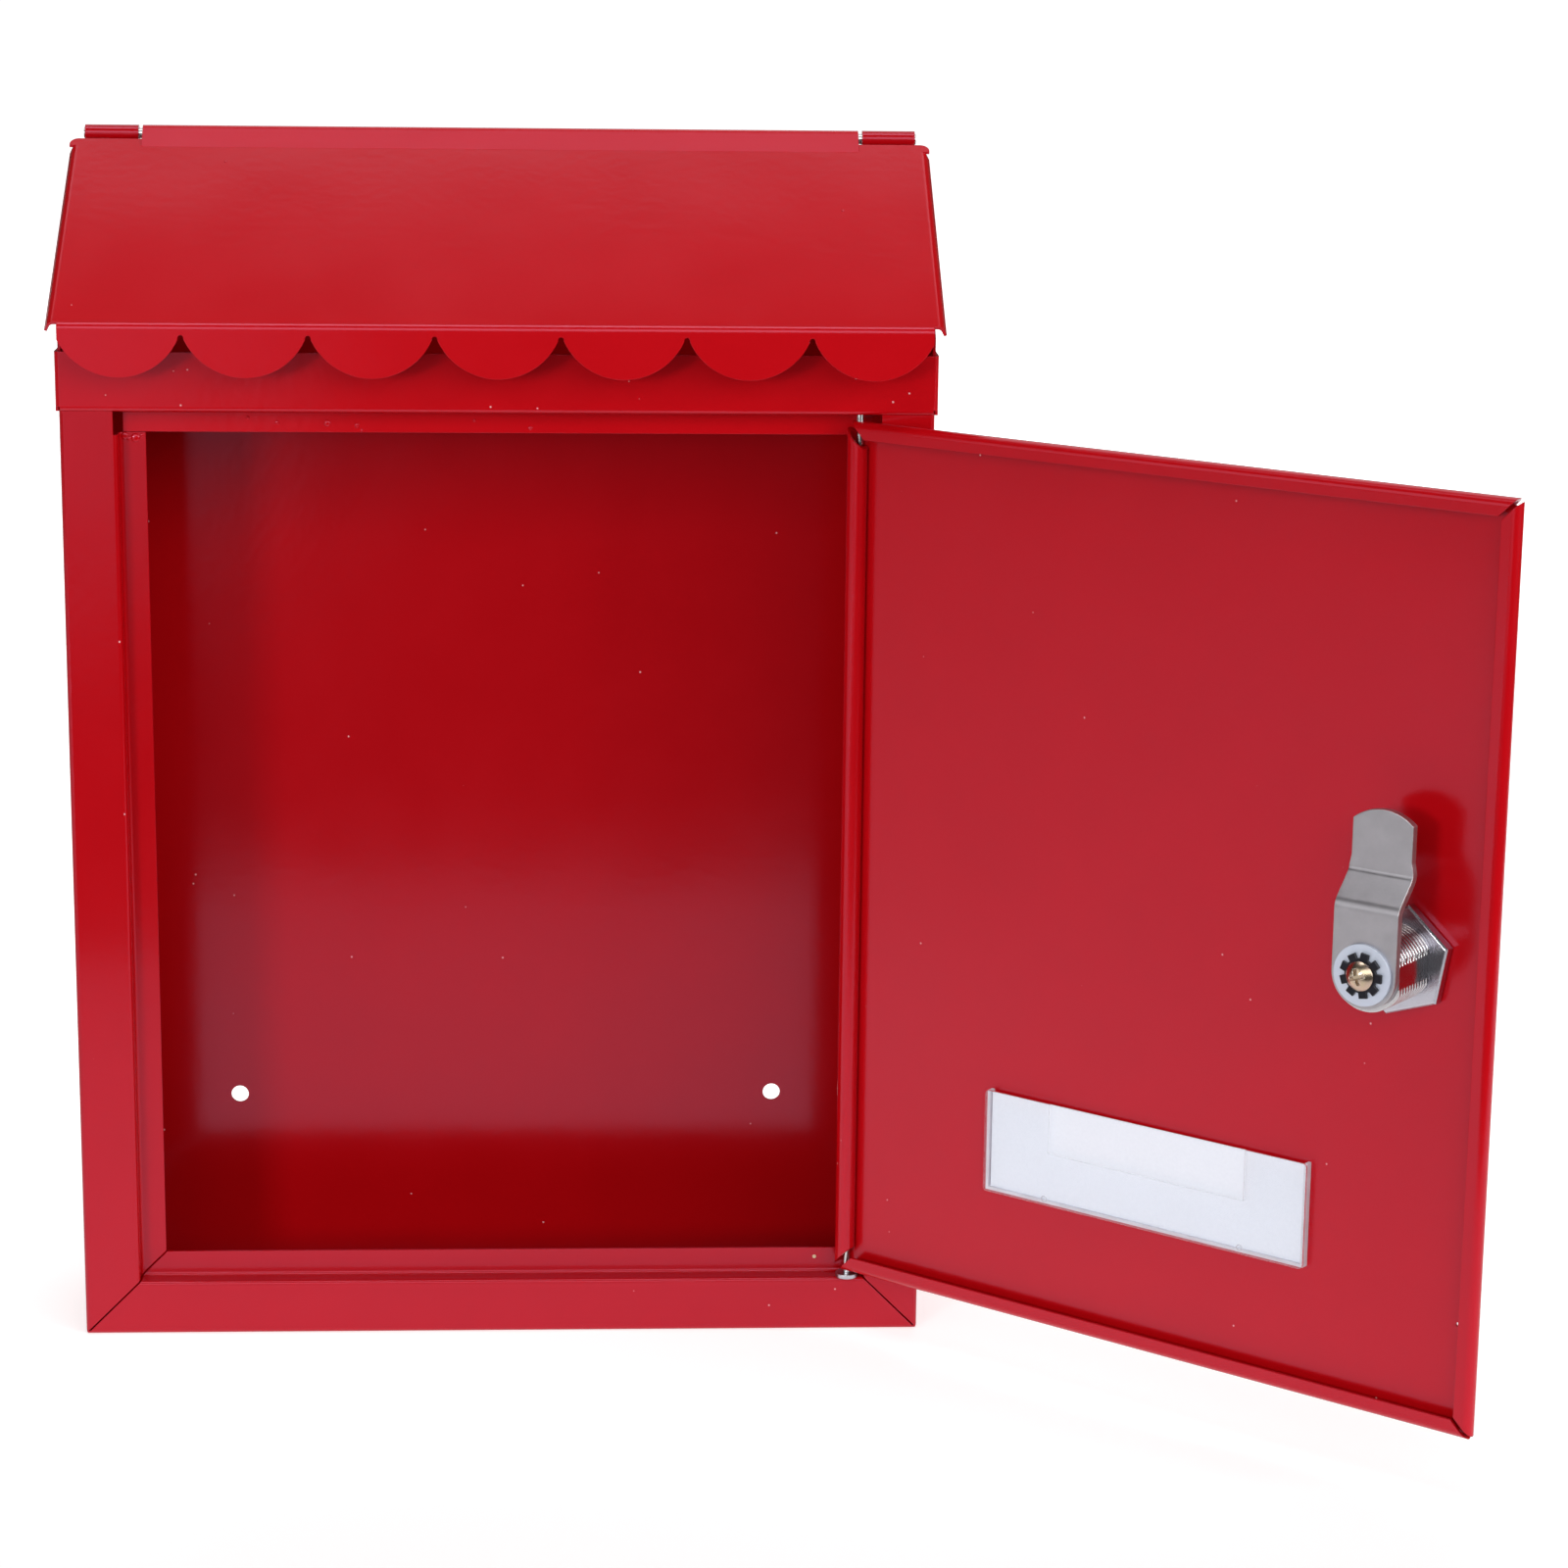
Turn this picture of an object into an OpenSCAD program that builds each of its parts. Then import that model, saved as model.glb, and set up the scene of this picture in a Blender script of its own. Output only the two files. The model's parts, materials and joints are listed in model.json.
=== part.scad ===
// Wall mailbox in folded sheet steel, with a lift-up lid and a locking front door.
// Millimetres. X runs right as seen from the front, Y runs back to the wall, Z runs up.
// Heights are counted from the floor of the case and depths from the wall.
// on_wall() then moves every piece down, so that the centre of the four wall holes is the origin.

/* [Case] */
// Width over the side panels
case_w = 210; // [190:1:240]
// Depth from the wall to the front flange
case_d = 55; // [50:1:80]
// Thickness of the sheet steel
sheet = 0.7; // [0.6:0.1:0.8]
// Outside radius of the folded edges
edge_r = 1.2; // [1.0:0.1:1.5]
// Flat width of the front flange, before it steps back
flange_w = 12.8; // [12.4:0.1:13.2]
// How far the door landing lies behind the flange
step_d = 5.4; // [5.2:0.1:6]
// Distance from the outside of the case to the door opening
landing_edge = 20; // [19:0.5:22]
// Width of the open mitre at the lower corners
mitre_gap = 0.4; // [0.2:0.1:0.6]

/* [Band] */
// Height of the lower edge of the band over the door
band_z = 234; // [220:1:240]
// Height of the band
band_h = 14.4; // [12:0.2:18]
// Length of the wings that lap round the side panels
wing_l = 14; // [8:1:20]

/* [Lid] */
// Height of the lid hinge axis
lid_axis_z = 296.2; // [294:0.2:298]
// Slope of the lid, in degrees
lid_slope = 32.6; // [31:0.1:34]
// Width over the side lips of the lid
lid_w = 213.2; // [213:0.1:214]
// Depth from the wall to the scalloped front
lid_d = 66.4; // [64:0.2:68]
// Number of scallops
scallops = 7; // [5:1:9]
// Depth of each scallop
scallop_h = 10.8; // [8:0.2:12]
// Width of the whole row of scallops
scallop_row = 207; // [200:1:208]

/* [Door] */
// Width of the door
door_w = 179.8; // [179:0.1:180.2]
// Height of the door
door_h = 216.8; // [216:0.1:217.2]
// Opening angle, in degrees
door_open = 140; // [0:1:140]
// Outside radius of the rolled edges
roll_r = 2.0; // [1.8:0.1:2.2]
// Outside radius of the roll round the hinge pin
hinge_roll_r = 2.5; // [2.4:0.05:2.5]

/* [Lock] */
// Distance from the hinge pin to the lock
lock_u = 152.9; // [145:0.1:154]
// Height of the lock
lock_z = 125.1; // [90:0.1:160]
// Diameter of the threaded barrel
barrel_d = 18; // [17:0.5:19]
// Turn of the cam from upright, in degrees
cam_turn = 0; // [0:5:90]

/* [Name holder] */
// Width of the name holder
holder_w = 89.7; // [80:0.1:92]
// Height of the name holder
holder_h = 25.8; // [22:0.1:28]

/* [Wall holes] */
// Spacing of the wall holes across
hole_span_x = 140; // [120:1:160]
// Spacing of the wall holes up
hole_span_z = 205; // [190:1:210]
// Diameter of the wall holes
hole_d = 4.5; // [4:0.1:5.5]
// Height of the lower wall holes
hole_low_z = 46; // [40:1:52]

/* [Hidden] */
$fn = 48;

powder_red = "#B81C26";
zinc_grey = "#A9A6A8";
bright_steel = "#D4D6D8";
blue_zinc = "#B9C4D2";
yellow_zinc = "#C9A94E";
black_steel = "#26272B";
clear_plastic = "#DDE3E6";
card_white = "#F0F0F2";

// Run past the faces that a cut goes through
past = 1;
mount_z = hole_low_z + hole_span_z / 2;
half_w = case_w / 2;
// Step of the flange: outside radius of its first bend and inside radius of its second
step_r = 1.0;
landing_r = 0.8;
web_s = flange_w + step_r;
landing_front = -case_d + step_d;

// Lid hinge: both sheets curl round one pin, tight against the wall side
lid_pin_r = 1.3;
curl_fit = 0.04;
curl_r = lid_pin_r + curl_fit + sheet;
lid_axis_y = -curl_r;
tab_half = 88.9;
knuckle_in = 89.9;
knuckle_out = 103.1;
knuckle_sweep = 285;
lid_curl_sweep = 275;
// Rear edge of the slope, a little above the level of the hinge axis
slope_start_y = -5.4;
slope_start_z = lid_axis_z + 2.3 + slope_start_y * tan(lid_slope);
lid_front_r = 1.8;
lid_run = (lid_d + slope_start_y) / cos(lid_slope) - lid_front_r * tan((90 - lid_slope) / 2);
// Place of the pin as seen along the slope, and how much more steeply the tab drops from it
pin_back = lid_axis_y - slope_start_y;
pin_up = lid_axis_z - slope_start_z;
tab_pin_y = pin_back * cos(lid_slope) + pin_up * sin(lid_slope);
tab_pin_z = pin_up * cos(lid_slope) - pin_back * sin(lid_slope);
tab_kick = 10.6;
tab_bend_y = tab_pin_y - curl_r * sin(tab_kick) - (tab_pin_z + curl_r * cos(tab_kick)) / tan(tab_kick);
lid_corner_r = 2.2;
lid_lip_r = 1.8;
lid_lip_turn = 65;
lid_lip_l = 1.6;
lid_lip_run = lid_run - lid_corner_r - 0.6;
lid_flat_half = lid_w / 2 - lid_lip_r * sin(lid_lip_turn) - lid_lip_l * cos(lid_lip_turn);
scallop_top = 0.6;
// The lid rests on the rear corners of the side panels, whose edges fall away more steeply
panel_top = 293.4;
panel_front = 251;
panel_slope = atan((panel_top - panel_front) / (case_d + slope_start_y));

// Door hinge: the pin lies near the outer face of the door, inside a wider roll
pin_r = 0.85;
pin_x = 87.0;
pin_in = 1.6;
pin_y = -case_d + pin_in;
roll_off = hinge_roll_r - pin_in;
washer_r = 2.8;
washer_t = 1.0;
door_x1 = pin_x + hinge_roll_r;
door_x0 = door_x1 - door_w;
door_z0 = 15.6;
door_z1 = door_z0 + door_h;
roll_return = 2.2;
roll_mitre = 0.55;
paint_hole_d = 1.2;

lock_x = pin_x - lock_u;
barrel_len = 17.2;
barrel_flats = 16;
head_d = 22;
head_t = 2.2;
plug_r = 5.5;
plug_head_r = 7.6;
turn_fit = 0.08;
nut_af = 23;
nut_t = 3;
nut_turn = 20;
// Cam: a strip with two opposite bends that bring its tip towards the door
cam_t = 1.8;
cam_w = 16;
cam_tip_w = 15;
cam_reach = 36.5;
cam_tip_r = 11.6;
cam_bend_z = 15.2;
cam_bend_r = 2;
cam_bend_a = 42.7;
bend_steps = 12;
cam_drop = 6;
flat_washer_r = 7.1;
flat_washer_t = 0.8;
star_r = 5.2;
star_root_r = 4;
star_teeth = 9;
star_t = 0.6;
screw_r = 1.95;
screw_head_r = 3.4;
screw_head_h = 2;
wafer_count = 5;
wafer_t = 1.0;
wafer_pitch = 2.4;

holder_u0 = 42.4;
holder_z0 = 46.5;
holder_t = 2.9;
holder_wall = 0.8;
pane_inset = 5;

card_t = 0.4;

// Moves a piece from case heights to the wall frame
module on_wall() {
    translate([0, 0, -mount_z]) children();
}

// Carries a door piece from closed to the opening angle
module on_door() {
    on_wall()
        translate([pin_x, pin_y, 0])
            rotate([0, 0, door_open])
                translate([-pin_x, -pin_y, 0])
                    children();
}

// Carries a turning lock piece with the key
module on_cam() {
    on_door()
        translate([lock_x, -case_d, lock_z])
            rotate([0, -cam_turn, 0])
                children();
}

// Box with folded edges: three rounded slabs meet in it
module folded_box(x, y, z, r) {
    intersection() {
        translate([0, 0, -past]) linear_extrude(z + 2 * past) rounded_plate(x, y, r);
        translate([0, -past, 0]) rotate([90, 0, 0]) mirror([0, 0, 1])
            linear_extrude(y + 2 * past) rounded_plate(x, z, r);
        translate([-x / 2 - past, 0, 0]) rotate([90, 0, 90])
            linear_extrude(x + 2 * past) translate([y / 2, 0]) rounded_plate(y, z, r);
    }
}

// Rectangle with round corners, centred across and standing on the axis
module rounded_plate(w, h, r) {
    union() {
        translate([-w / 2 + r, 0]) square([w - 2 * r, h]);
        translate([-w / 2, r]) square([w, h - 2 * r]);
        for (x = [-w / 2 + r, w / 2 - r], y = [r, h - r])
            translate([x, y]) circle(r);
    }
}

// Quarter bend of the sheet in a profile, from the direction a onwards
module quarter_bend(r_in, a) {
    rotate(a)
        intersection() {
            difference() {
                circle(r_in + sheet);
                circle(r_in);
            }
            square(r_in + sheet + past);
        }
}

// Bend of up to 90 degrees, or a roll of more than 270, from the direction a onwards
module bend(r_in, a, sweep, t = sheet) {
    reach = r_in + t + past;
    rolled = sweep > 90;
    gap = rolled ? 360 - sweep : sweep;
    difference() {
        circle(r_in + t);
        circle(r_in);
        if (rolled) rotate(a + sweep) sector(reach, gap);
        else rotate(a + sweep) sector_outside(reach, 360 - gap);
    }
}

// Wedge of up to 90 degrees from the first axis onwards
module sector(reach, sweep) {
    intersection() {
        square(reach);
        rotate(sweep - 90) square(reach);
    }
}

// Wedge of 270 degrees or more from the first axis onwards
module sector_outside(reach, sweep) {
    difference() {
        square(2 * reach, center = true);
        rotate(sweep) sector(2 * reach, 360 - sweep);
    }
}

// Sheet rolled round an axis along X, from the direction a through the sweep
module rolled_x(r_out, len, a, sweep) {
    rotate([90, 0, 90])
        rotate([0, 0, a])
            rotate_extrude(angle = sweep)
                translate([r_out - sheet, -len / 2])
                    square([sheet, len]);
}

// Section of the stepped flange: across from the outside of the case, back from its front face
module step_profile() {
    // First bend, back from the flange
    translate([flange_w, step_r]) quarter_bend(step_r - sheet, -90);
    // Web
    translate([web_s - sheet, step_r]) square([sheet, step_d - step_r - landing_r]);
    // Second bend, out to the landing
    translate([web_s + landing_r, step_d - landing_r]) quarter_bend(landing_r, 90);
    // Landing that the door closes on
    translate([web_s + landing_r, step_d]) square([landing_edge - web_s - landing_r, sheet]);
}

// Stepped flange up one side of the door opening
module side_step(s) {
    difference() {
        scale([s, 1, 1])
            translate([half_w, -case_d, 0])
                linear_extrude(band_z - 5.6)
                    mirror([1, 0]) step_profile();
        mitre_cut(s, 1);
    }
}

// Stepped flange along the floor of the door opening
module floor_step() {
    difference() {
        translate([-half_w, -case_d, 0])
            rotate([90, 0, 90])
                linear_extrude(case_w)
                    mirror([1, -1]) step_profile();
        for (s = [-1, 1]) mitre_cut(s, -1);
    }
}

// Removes the far side of the 45 degree mitre line, with half of its gap
module mitre_cut(s, keep) {
    big = 60;
    translate([s * half_w, -case_d - past, 0])
        scale([-s, 1, 1])
            rotate([0, -45, 0])
                translate([-past, 0, keep > 0 ? -big + mitre_gap / 2 : -mitre_gap / 2])
                    cube([big, step_d + sheet + 2 * past, big]);
}

// Everything above the sloping edges of the side panels
module above_panels() {
    slab = 160;
    translate([0, -case_d, panel_front])
        rotate([panel_slope, 0, 0])
            translate([-case_w, -slab, 0])
                cube([2 * case_w, 2 * slab, slab]);
}

// Back, floor, side panels and stepped flanges, folded from one sheet
module case_shell() {
    inner = sheet;
    color(powder_red) on_wall() difference() {
        union() {
            difference() {
                translate([0, -case_d, 0]) folded_box(case_w, case_d, lid_axis_z + 20, edge_r);
                translate([0, -case_d + inner, inner])
                    folded_box(case_w - 2 * inner, case_d - 2 * inner, lid_axis_z + 40, edge_r - inner);
                // Door opening and the open front above it
                translate([-half_w + flange_w, -case_d - past, flange_w])
                    cube([case_w - 2 * flange_w, 2 * past + sheet, lid_axis_z + 20]);
                // Open mitres between the side flanges and the floor flange
                for (s = [-1, 1]) mitre_slot(s);
                above_panels();
                // The front corners end behind the band
                translate([-case_w, -case_d - past, band_z + band_h - 1])
                    cube([2 * case_w, past + edge_r + 0.4, 100]);
                translate([-case_w, -case_d - past, panel_top])
                    cube([2 * case_w, case_d + 2 * past, 100]);
            }
            for (s = [-1, 1]) {
                side_step(s);
                knuckle(s);
            }
            floor_step();
        }
        wall_holes();
        // Lower hole of the door pin, through the ledge of the floor step
        translate([pin_x, pin_y, flange_w]) cylinder(r = pin_r + 0.1, h = 2 * step_r + sheet);
    }
}

module mitre_slot(s) {
    translate([s * half_w, -case_d - past, 0])
        scale([-s, 1, 1])
            rotate([0, -45, 0])
                translate([edge_r, 0, -mitre_gap / 2])
                    cube([60, past + sheet + 0.01, mitre_gap]);
}

// Ear of the back panel, curled forward round the lid pin
module knuckle(s) {
    len = knuckle_out - knuckle_in;
    mid = s * (knuckle_in + knuckle_out) / 2;
    translate([mid - len / 2, -sheet, panel_top - past])
        cube([len, sheet, lid_axis_z - panel_top + past]);
    translate([mid, lid_axis_y, lid_axis_z])
        rolled_x(curl_r, len, 0, knuckle_sweep);
}

module wall_holes() {
    for (x = [-1, 1] * hole_span_x / 2, z = [hole_low_z, hole_low_z + hole_span_z])
        translate([x, past, z])
            rotate([90, 0, 0])
                cylinder(d = hole_d, h = sheet + 2 * past);
}

// Band over the door: laps round the sides, and its lower edge folds back to the top landing
module front_band() {
    band_top = band_z + band_h;
    lip_z = band_z - 5.5;
    strip_half = half_w - web_s - landing_r;
    color(powder_red) on_wall() {
        difference() {
            translate([0, 0, band_z])
                linear_extrude(band_h) band_outline();
            // Room for the fold of the lower edge
            translate([-half_w - 2, -case_d - sheet - past, band_z - past])
                cube([case_w + 4, past + edge_r, past + edge_r]);
        }
        // Fold of the lower edge, trimmed where it lies on the flanges of the case
        difference() {
            translate([-half_w - sheet + edge_r, -case_d - sheet + edge_r, band_z + edge_r])
                rotate([90, 0, 90])
                    linear_extrude(case_w + 2 * sheet - 2 * edge_r)
                        quarter_bend(edge_r - sheet, 180);
            for (x = [-half_w - past, half_w - flange_w - 0.1])
                translate([x, -case_d, band_z - past]) cube([flange_w + 0.1 + past, 2, 2 * past + edge_r]);
        }
        // Ledge back to the landing
        translate([-strip_half - landing_r, -case_d - sheet + edge_r, band_z])
            cube([2 * strip_half + 2 * landing_r, step_d + sheet - edge_r - landing_r, sheet]);
        translate([-strip_half - landing_r, landing_front - landing_r, band_z - landing_r])
            rotate([90, 0, 90])
                linear_extrude(2 * strip_half + 2 * landing_r)
                    quarter_bend(landing_r, 0);
        translate([-strip_half, landing_front, lip_z])
            cube([2 * strip_half, sheet, band_z - landing_r - lip_z]);
    }
}

// Plan of the band: a long U whose ends lap round the side panels
module band_outline() {
    difference() {
        translate([0, -case_d - sheet])
            rounded_plate(case_w + 2 * sheet, 2 * case_d, edge_r);
        translate([0, -case_d])
            rounded_plate(case_w, 2 * case_d, edge_r - sheet);
        translate([-case_w, -case_d - sheet + wing_l])
            square([2 * case_w, 3 * case_d]);
    }
}

// Lid: one sheet with a rolled hinge tab, flared side lips and a scalloped front.
// It is drawn lying flat, from the rear edge of its slope, and then tilted.
module lid() {
    color(powder_red) on_wall()
        translate([0, slope_start_y, slope_start_z])
            rotate([lid_slope, 0, 0]) {
                across(2 * tab_half) hinge_tab_section();
                sloping_top();
                for (s = [-1, 1]) side_lip(s);
                scalloped_front();
            }
}

// Extrudes a section drawn back and up along X, centred
module across(w) {
    translate([-w / 2, 0, 0]) rotate([90, 0, 90]) linear_extrude(w) children();
}

// Roll round the pin, and the bent strip that drops from it to the slope
module hinge_tab_section() {
    inner = curl_r - sheet;
    lap = 1.5;
    translate([tab_pin_y, tab_pin_z])
        bend(inner, 90 + tab_kick - lid_curl_sweep, lid_curl_sweep);
    polygon([
        [tab_pin_y - curl_r * sin(tab_kick), tab_pin_z + curl_r * cos(tab_kick)],
        [tab_bend_y, 0],
        [tab_bend_y - lap, 0],
        [tab_bend_y - lap, -sheet],
        [tab_bend_y + sheet * tan(tab_kick / 2), -sheet],
        [tab_pin_y - inner * sin(tab_kick), tab_pin_z + inner * cos(tab_kick)]
    ]);
}

// Flat of the slope: round rear corners, and cut back where the hinge tab takes over
module sloping_top() {
    ear = lid_corner_r;
    translate([0, 0, -sheet])
        linear_extrude(sheet)
            difference() {
                mirror([0, 1]) round_shouldered(2 * lid_flat_half + 2 * ear, lid_run, ear);
                translate([-tab_half, tab_bend_y]) square([2 * tab_half, past - tab_bend_y]);
                for (s = [-1, 1])
                    scale([s, 1]) translate([lid_flat_half, -lid_run - past])
                        square([ear + past, lid_lip_run + past]);
            }
}

// Rectangle standing on the axis, with its two lower corners rounded
module round_shouldered(w, h, r) {
    translate([-w / 2, r]) square([w, h - r]);
    translate([-w / 2 + r, 0]) square([w - 2 * r, h]);
    for (x = [-1, 1] * (w / 2 - r)) translate([x, r]) circle(r);
}

// Lip along one side of the slope, turned down and flared out a little
module side_lip(s) {
    scale([s, 1, 1])
        translate([lid_flat_half, -lid_run, -lid_lip_r])
            rotate([90, 0, 0]) mirror([0, 0, 1])
                linear_extrude(lid_lip_run) {
                    translate([-past, lid_lip_r - sheet]) square([past, sheet]);
                    bend(lid_lip_r - sheet, 90 - lid_lip_turn, lid_lip_turn);
                    rotate(-lid_lip_turn) translate([0, lid_lip_r - sheet]) square([lid_lip_l, sheet]);
                }
}

// Front bend of the slope, and the upright front that is stamped into round scallops
module scalloped_front() {
    turn = 90 - lid_slope;
    strip_h = scallop_top + scallop_h + 1;
    pitch = (scallop_row + 1.6) / scallops;
    r = (pitch * pitch / 4 + scallop_h * scallop_h) / (2 * scallop_h);
    notch_r = 0.7;
    translate([0, -lid_run, -lid_front_r]) difference() {
        across(scallop_row) {
            translate([0, lid_front_r - sheet]) square([past, sheet]);
            bend(lid_front_r - sheet, 90, turn);
            rotate(turn) translate([-strip_h, lid_front_r - sheet]) square([strip_h, sheet]);
        }
        rotate([turn, 0, 0])
            translate([0, -scallop_top, lid_front_r - sheet - past])
                linear_extrude(sheet + 2 * past) {
                    difference() {
                        translate([-scallop_row / 2 - past, -strip_h - past])
                            square([scallop_row + 2 * past, strip_h + past - 2 * notch_r]);
                        for (i = [0 : scallops - 1])
                            translate([(i - (scallops - 1) / 2) * pitch, r - scallop_h]) circle(r, $fn = 96);
                    }
                    for (i = [1 : scallops - 1])
                        translate([(i - scallops / 2) * pitch, -2 * notch_r]) circle(notch_r);
                }
    }
}

module lid_hinge_pin() {
    len = 2 * knuckle_out + 0.6;
    color(bright_steel) on_wall()
        translate([-len / 2, lid_axis_y, lid_axis_z])
            rotate([0, 90, 0])
                cylinder(r = lid_pin_r, h = len);
}

// Door: flat outer face, three plain rolled edges and a wide roll round the pin
module door() {
    color(powder_red) on_door() difference() {
        union() {
            door_face();
            for (s = [0, 1]) door_rail(s);
            free_roll();
            hinge_roll();
        }
        translate([lock_x, -case_d - past, lock_z]) rotate([-90, 0, 0])
            cylinder(d = barrel_d + 0.4, h = sheet + 2 * past);
        translate([pin_x - 171.5, -case_d - past, 41.6]) rotate([-90, 0, 0])
            cylinder(d = paint_hole_d, h = sheet + 2 * past);
        holder_window(0.2);
    }
}

module door_face() {
    translate([door_x0 + roll_r, -case_d, door_z0 + roll_r])
        cube([door_w - roll_r - hinge_roll_r, sheet, door_h - 2 * roll_r]);
}

// Section of a rolled edge: turned back by half a circle and returned flat
module roll_profile() {
    quarter_bend(roll_r - sheet, 0);
    quarter_bend(roll_r - sheet, -90);
    translate([-roll_return, roll_r - sheet]) square([roll_return + 0.01, sheet]);
}

module free_roll() {
    difference() {
        translate([door_x0 + roll_r, -case_d + roll_r, door_z0])
            linear_extrude(door_h) mirror([1, 0]) roll_profile();
        corner_cut(door_x0, door_z0, 1, 1, 1);
        corner_cut(door_x0, door_z1, 1, -1, 1);
    }
}

// Rolled bottom rail for s = 0 and top rail for s = 1
module door_rail(s) {
    z = s == 0 ? door_z0 + roll_r : door_z1 - roll_r;
    zs = s == 0 ? 1 : -1;
    zc = s == 0 ? door_z0 : door_z1;
    difference() {
        translate([door_x0, -case_d + roll_r, z])
            scale([1, 1, -zs])
                rotate([90, 0, 90])
                    linear_extrude(door_w) mirror([1, -1]) roll_profile();
        corner_cut(door_x0, zc, 1, zs, -1);
        corner_cut(door_x1 - 0.4, zc, -1, zs, -1);
        // Holes that the pin passes through
        translate([pin_x, pin_y, door_z0 - past]) cylinder(r = pin_r + 0.08, h = door_h + 2 * past);
    }
}

// Roll round the hinge pin, with its ends mitred away from the rails
module hinge_roll() {
    sweep = 300;
    difference() {
        translate([pin_x, pin_y + roll_off, door_z0])
            rotate([0, 0, -90])
                rotate_extrude(angle = sweep)
                    translate([hinge_roll_r - sheet, 0]) square([sheet, door_h]);
        corner_cut(door_x1, door_z0 + 0.8, -1, 1, 1);
        corner_cut(door_x1, door_z1 - 0.8, -1, -1, 1);
    }
}

// Removes what lies past the 45 degree line through a corner of the door
module corner_cut(x, z, sx, sz, keep) {
    big = 30;
    translate([x, -case_d - past, z])
        scale([sx, 1, sz])
            rotate([0, -45, 0])
                translate([-big / 2, 0, keep > 0 ? -big + roll_mitre : -roll_mitre])
                    cube([2 * big, 2 * hinge_roll_r + 2 * past, big]);
}

// Pin through the roll, from under the ledge to above the band
module door_hinge_pin() {
    low = 8;
    color(bright_steel) on_wall()
        translate([pin_x, pin_y, low])
            cylinder(r = pin_r, h = band_z - low);
}

module hinge_washer() {
    color(blue_zinc) on_wall()
        translate([pin_x, pin_y, web_s])
            difference() {
                cylinder(r = washer_r, h = washer_t);
                translate([0, 0, -past]) cylinder(r = pin_r + 0.05, h = washer_t + 2 * past);
            }
}

// Cylinder along the lock axis, between two depths behind the door face
module along_lock(r, from, to) {
    translate([0, from, 0]) rotate([-90, 0, 0]) cylinder(r = r, h = to - from);
}

// Lock body: round head outside, threaded barrel with two flats through the door
module lock_body() {
    color(zinc_grey) on_door() translate([lock_x, -case_d, lock_z]) difference() {
        union() {
            along_lock(head_d / 2, -head_t, 0);
            intersection() {
                along_lock(barrel_d / 2, -0.01, barrel_len);
                translate([-barrel_flats / 2, -1, -barrel_d])
                    cube([barrel_flats, barrel_len + 2, 2 * barrel_d]);
            }
        }
        along_lock(plug_r + turn_fit, -head_t - past, barrel_len + past);
        along_lock(plug_head_r + turn_fit, -head_t - past, -head_t + 1.3);
        // Grooves that the wafers catch in
        translate([-1.6, 1, -plug_r - 1.2]) cube([3.2, barrel_len - 3, 2 * plug_r + 2.4]);
    }
}

// Plug: turns with the key, and carries the cam on its square end
module lock_plug() {
    color(bright_steel) on_cam() difference() {
        union() {
            along_lock(plug_head_r, -head_t - 0.3, -head_t + 1.2);
            along_lock(plug_r, -head_t + 1, barrel_len);
            translate([-3.9, barrel_len - 0.01, -3.9]) cube([7.8, cam_t - 0.2, 7.8]);
        }
        // Keyway
        translate([-1, -head_t - past, -4]) cube([2, head_t + past + 13.4, 8]);
        // Slots of the wafers
        for (i = [0 : wafer_count - 1])
            translate([-1.5, wafer_y(i) - 0.05, -plug_r - past])
                cube([3, wafer_t + 0.1, 2 * plug_r + 2 * past]);
        along_lock(screw_r, 14, barrel_len + cam_t + past);
    }
}

function wafer_y(i) = 1.4 + i * wafer_pitch;

module lock_wafers() {
    color(yellow_zinc) on_cam()
        for (i = [0 : wafer_count - 1])
            translate([0, wafer_y(i), 0])
                difference() {
                    translate([-1.4, 0, -plug_r + 0.5]) cube([2.8, wafer_t, 2 * plug_r - 1.0]);
                    translate([-1, -past, -3.2 + (i % 3) * 0.5]) cube([2, wafer_t + 2 * past, 6]);
                }
}

// Springs: one small coil under each wafer, drawn as its closed outer form
module wafer_springs() {
    color(bright_steel) on_cam()
        for (i = [0 : wafer_count - 1])
            translate([0, wafer_y(i) + wafer_t / 2, plug_r - 0.48])
                cylinder(r = 0.4, h = 0.4);
}

module lock_nut() {
    color(bright_steel) on_door() translate([lock_x, -case_d + sheet, lock_z])
        difference() {
            rotate([-90, 0, 0]) rotate([0, 0, nut_turn]) cylinder(d = nut_af / cos(30), h = nut_t, $fn = 6);
            along_lock(barrel_d / 2 + 0.05, -past, nut_t + past);
        }
}

// Cam: stamped strip with a square hole, bent towards the door and round at its foot
module lock_cam() {
    color(zinc_grey) on_cam() translate([0, barrel_len, 0]) difference() {
        intersection() {
            cam_strip();
            translate([0, cam_t + past, 0]) rotate([90, 0, 0])
                linear_extrude(cam_t + cam_drop + 2 * past) cam_outline();
        }
        translate([-4, -past, -4]) cube([8, cam_t + 2 * past, 8]);
    }
}

// Bent strip: its section is drawn back from the barrel and up, first along the door side
module cam_strip() {
    r_out = cam_bend_r + cam_t;
    mid = cam_bend_r + cam_t / 2;
    foot = cam_bend_z - mid * tan(cam_bend_a / 2);
    slant = (cam_drop - 2 * mid * (1 - cos(cam_bend_a))) / sin(cam_bend_a);
    tip_z = foot + 2 * mid * sin(cam_bend_a) + slant * cos(cam_bend_a);
    tip_y = r_out - cam_drop;
    across(cam_w + 2 * past) polygon(concat(
        [[0, -cam_w]],
        arc(-cam_bend_r, foot, cam_bend_r, 0, cam_bend_a),
        arc(tip_y, tip_z, r_out, 180 + cam_bend_a, 180),
        [[-cam_drop, cam_reach + past], [cam_t - cam_drop, cam_reach + past]],
        arc(tip_y, tip_z, cam_bend_r, 180, 180 + cam_bend_a),
        arc(-cam_bend_r, foot, r_out, cam_bend_a, 0),
        [[cam_t, -cam_w]]
    ));
}

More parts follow.
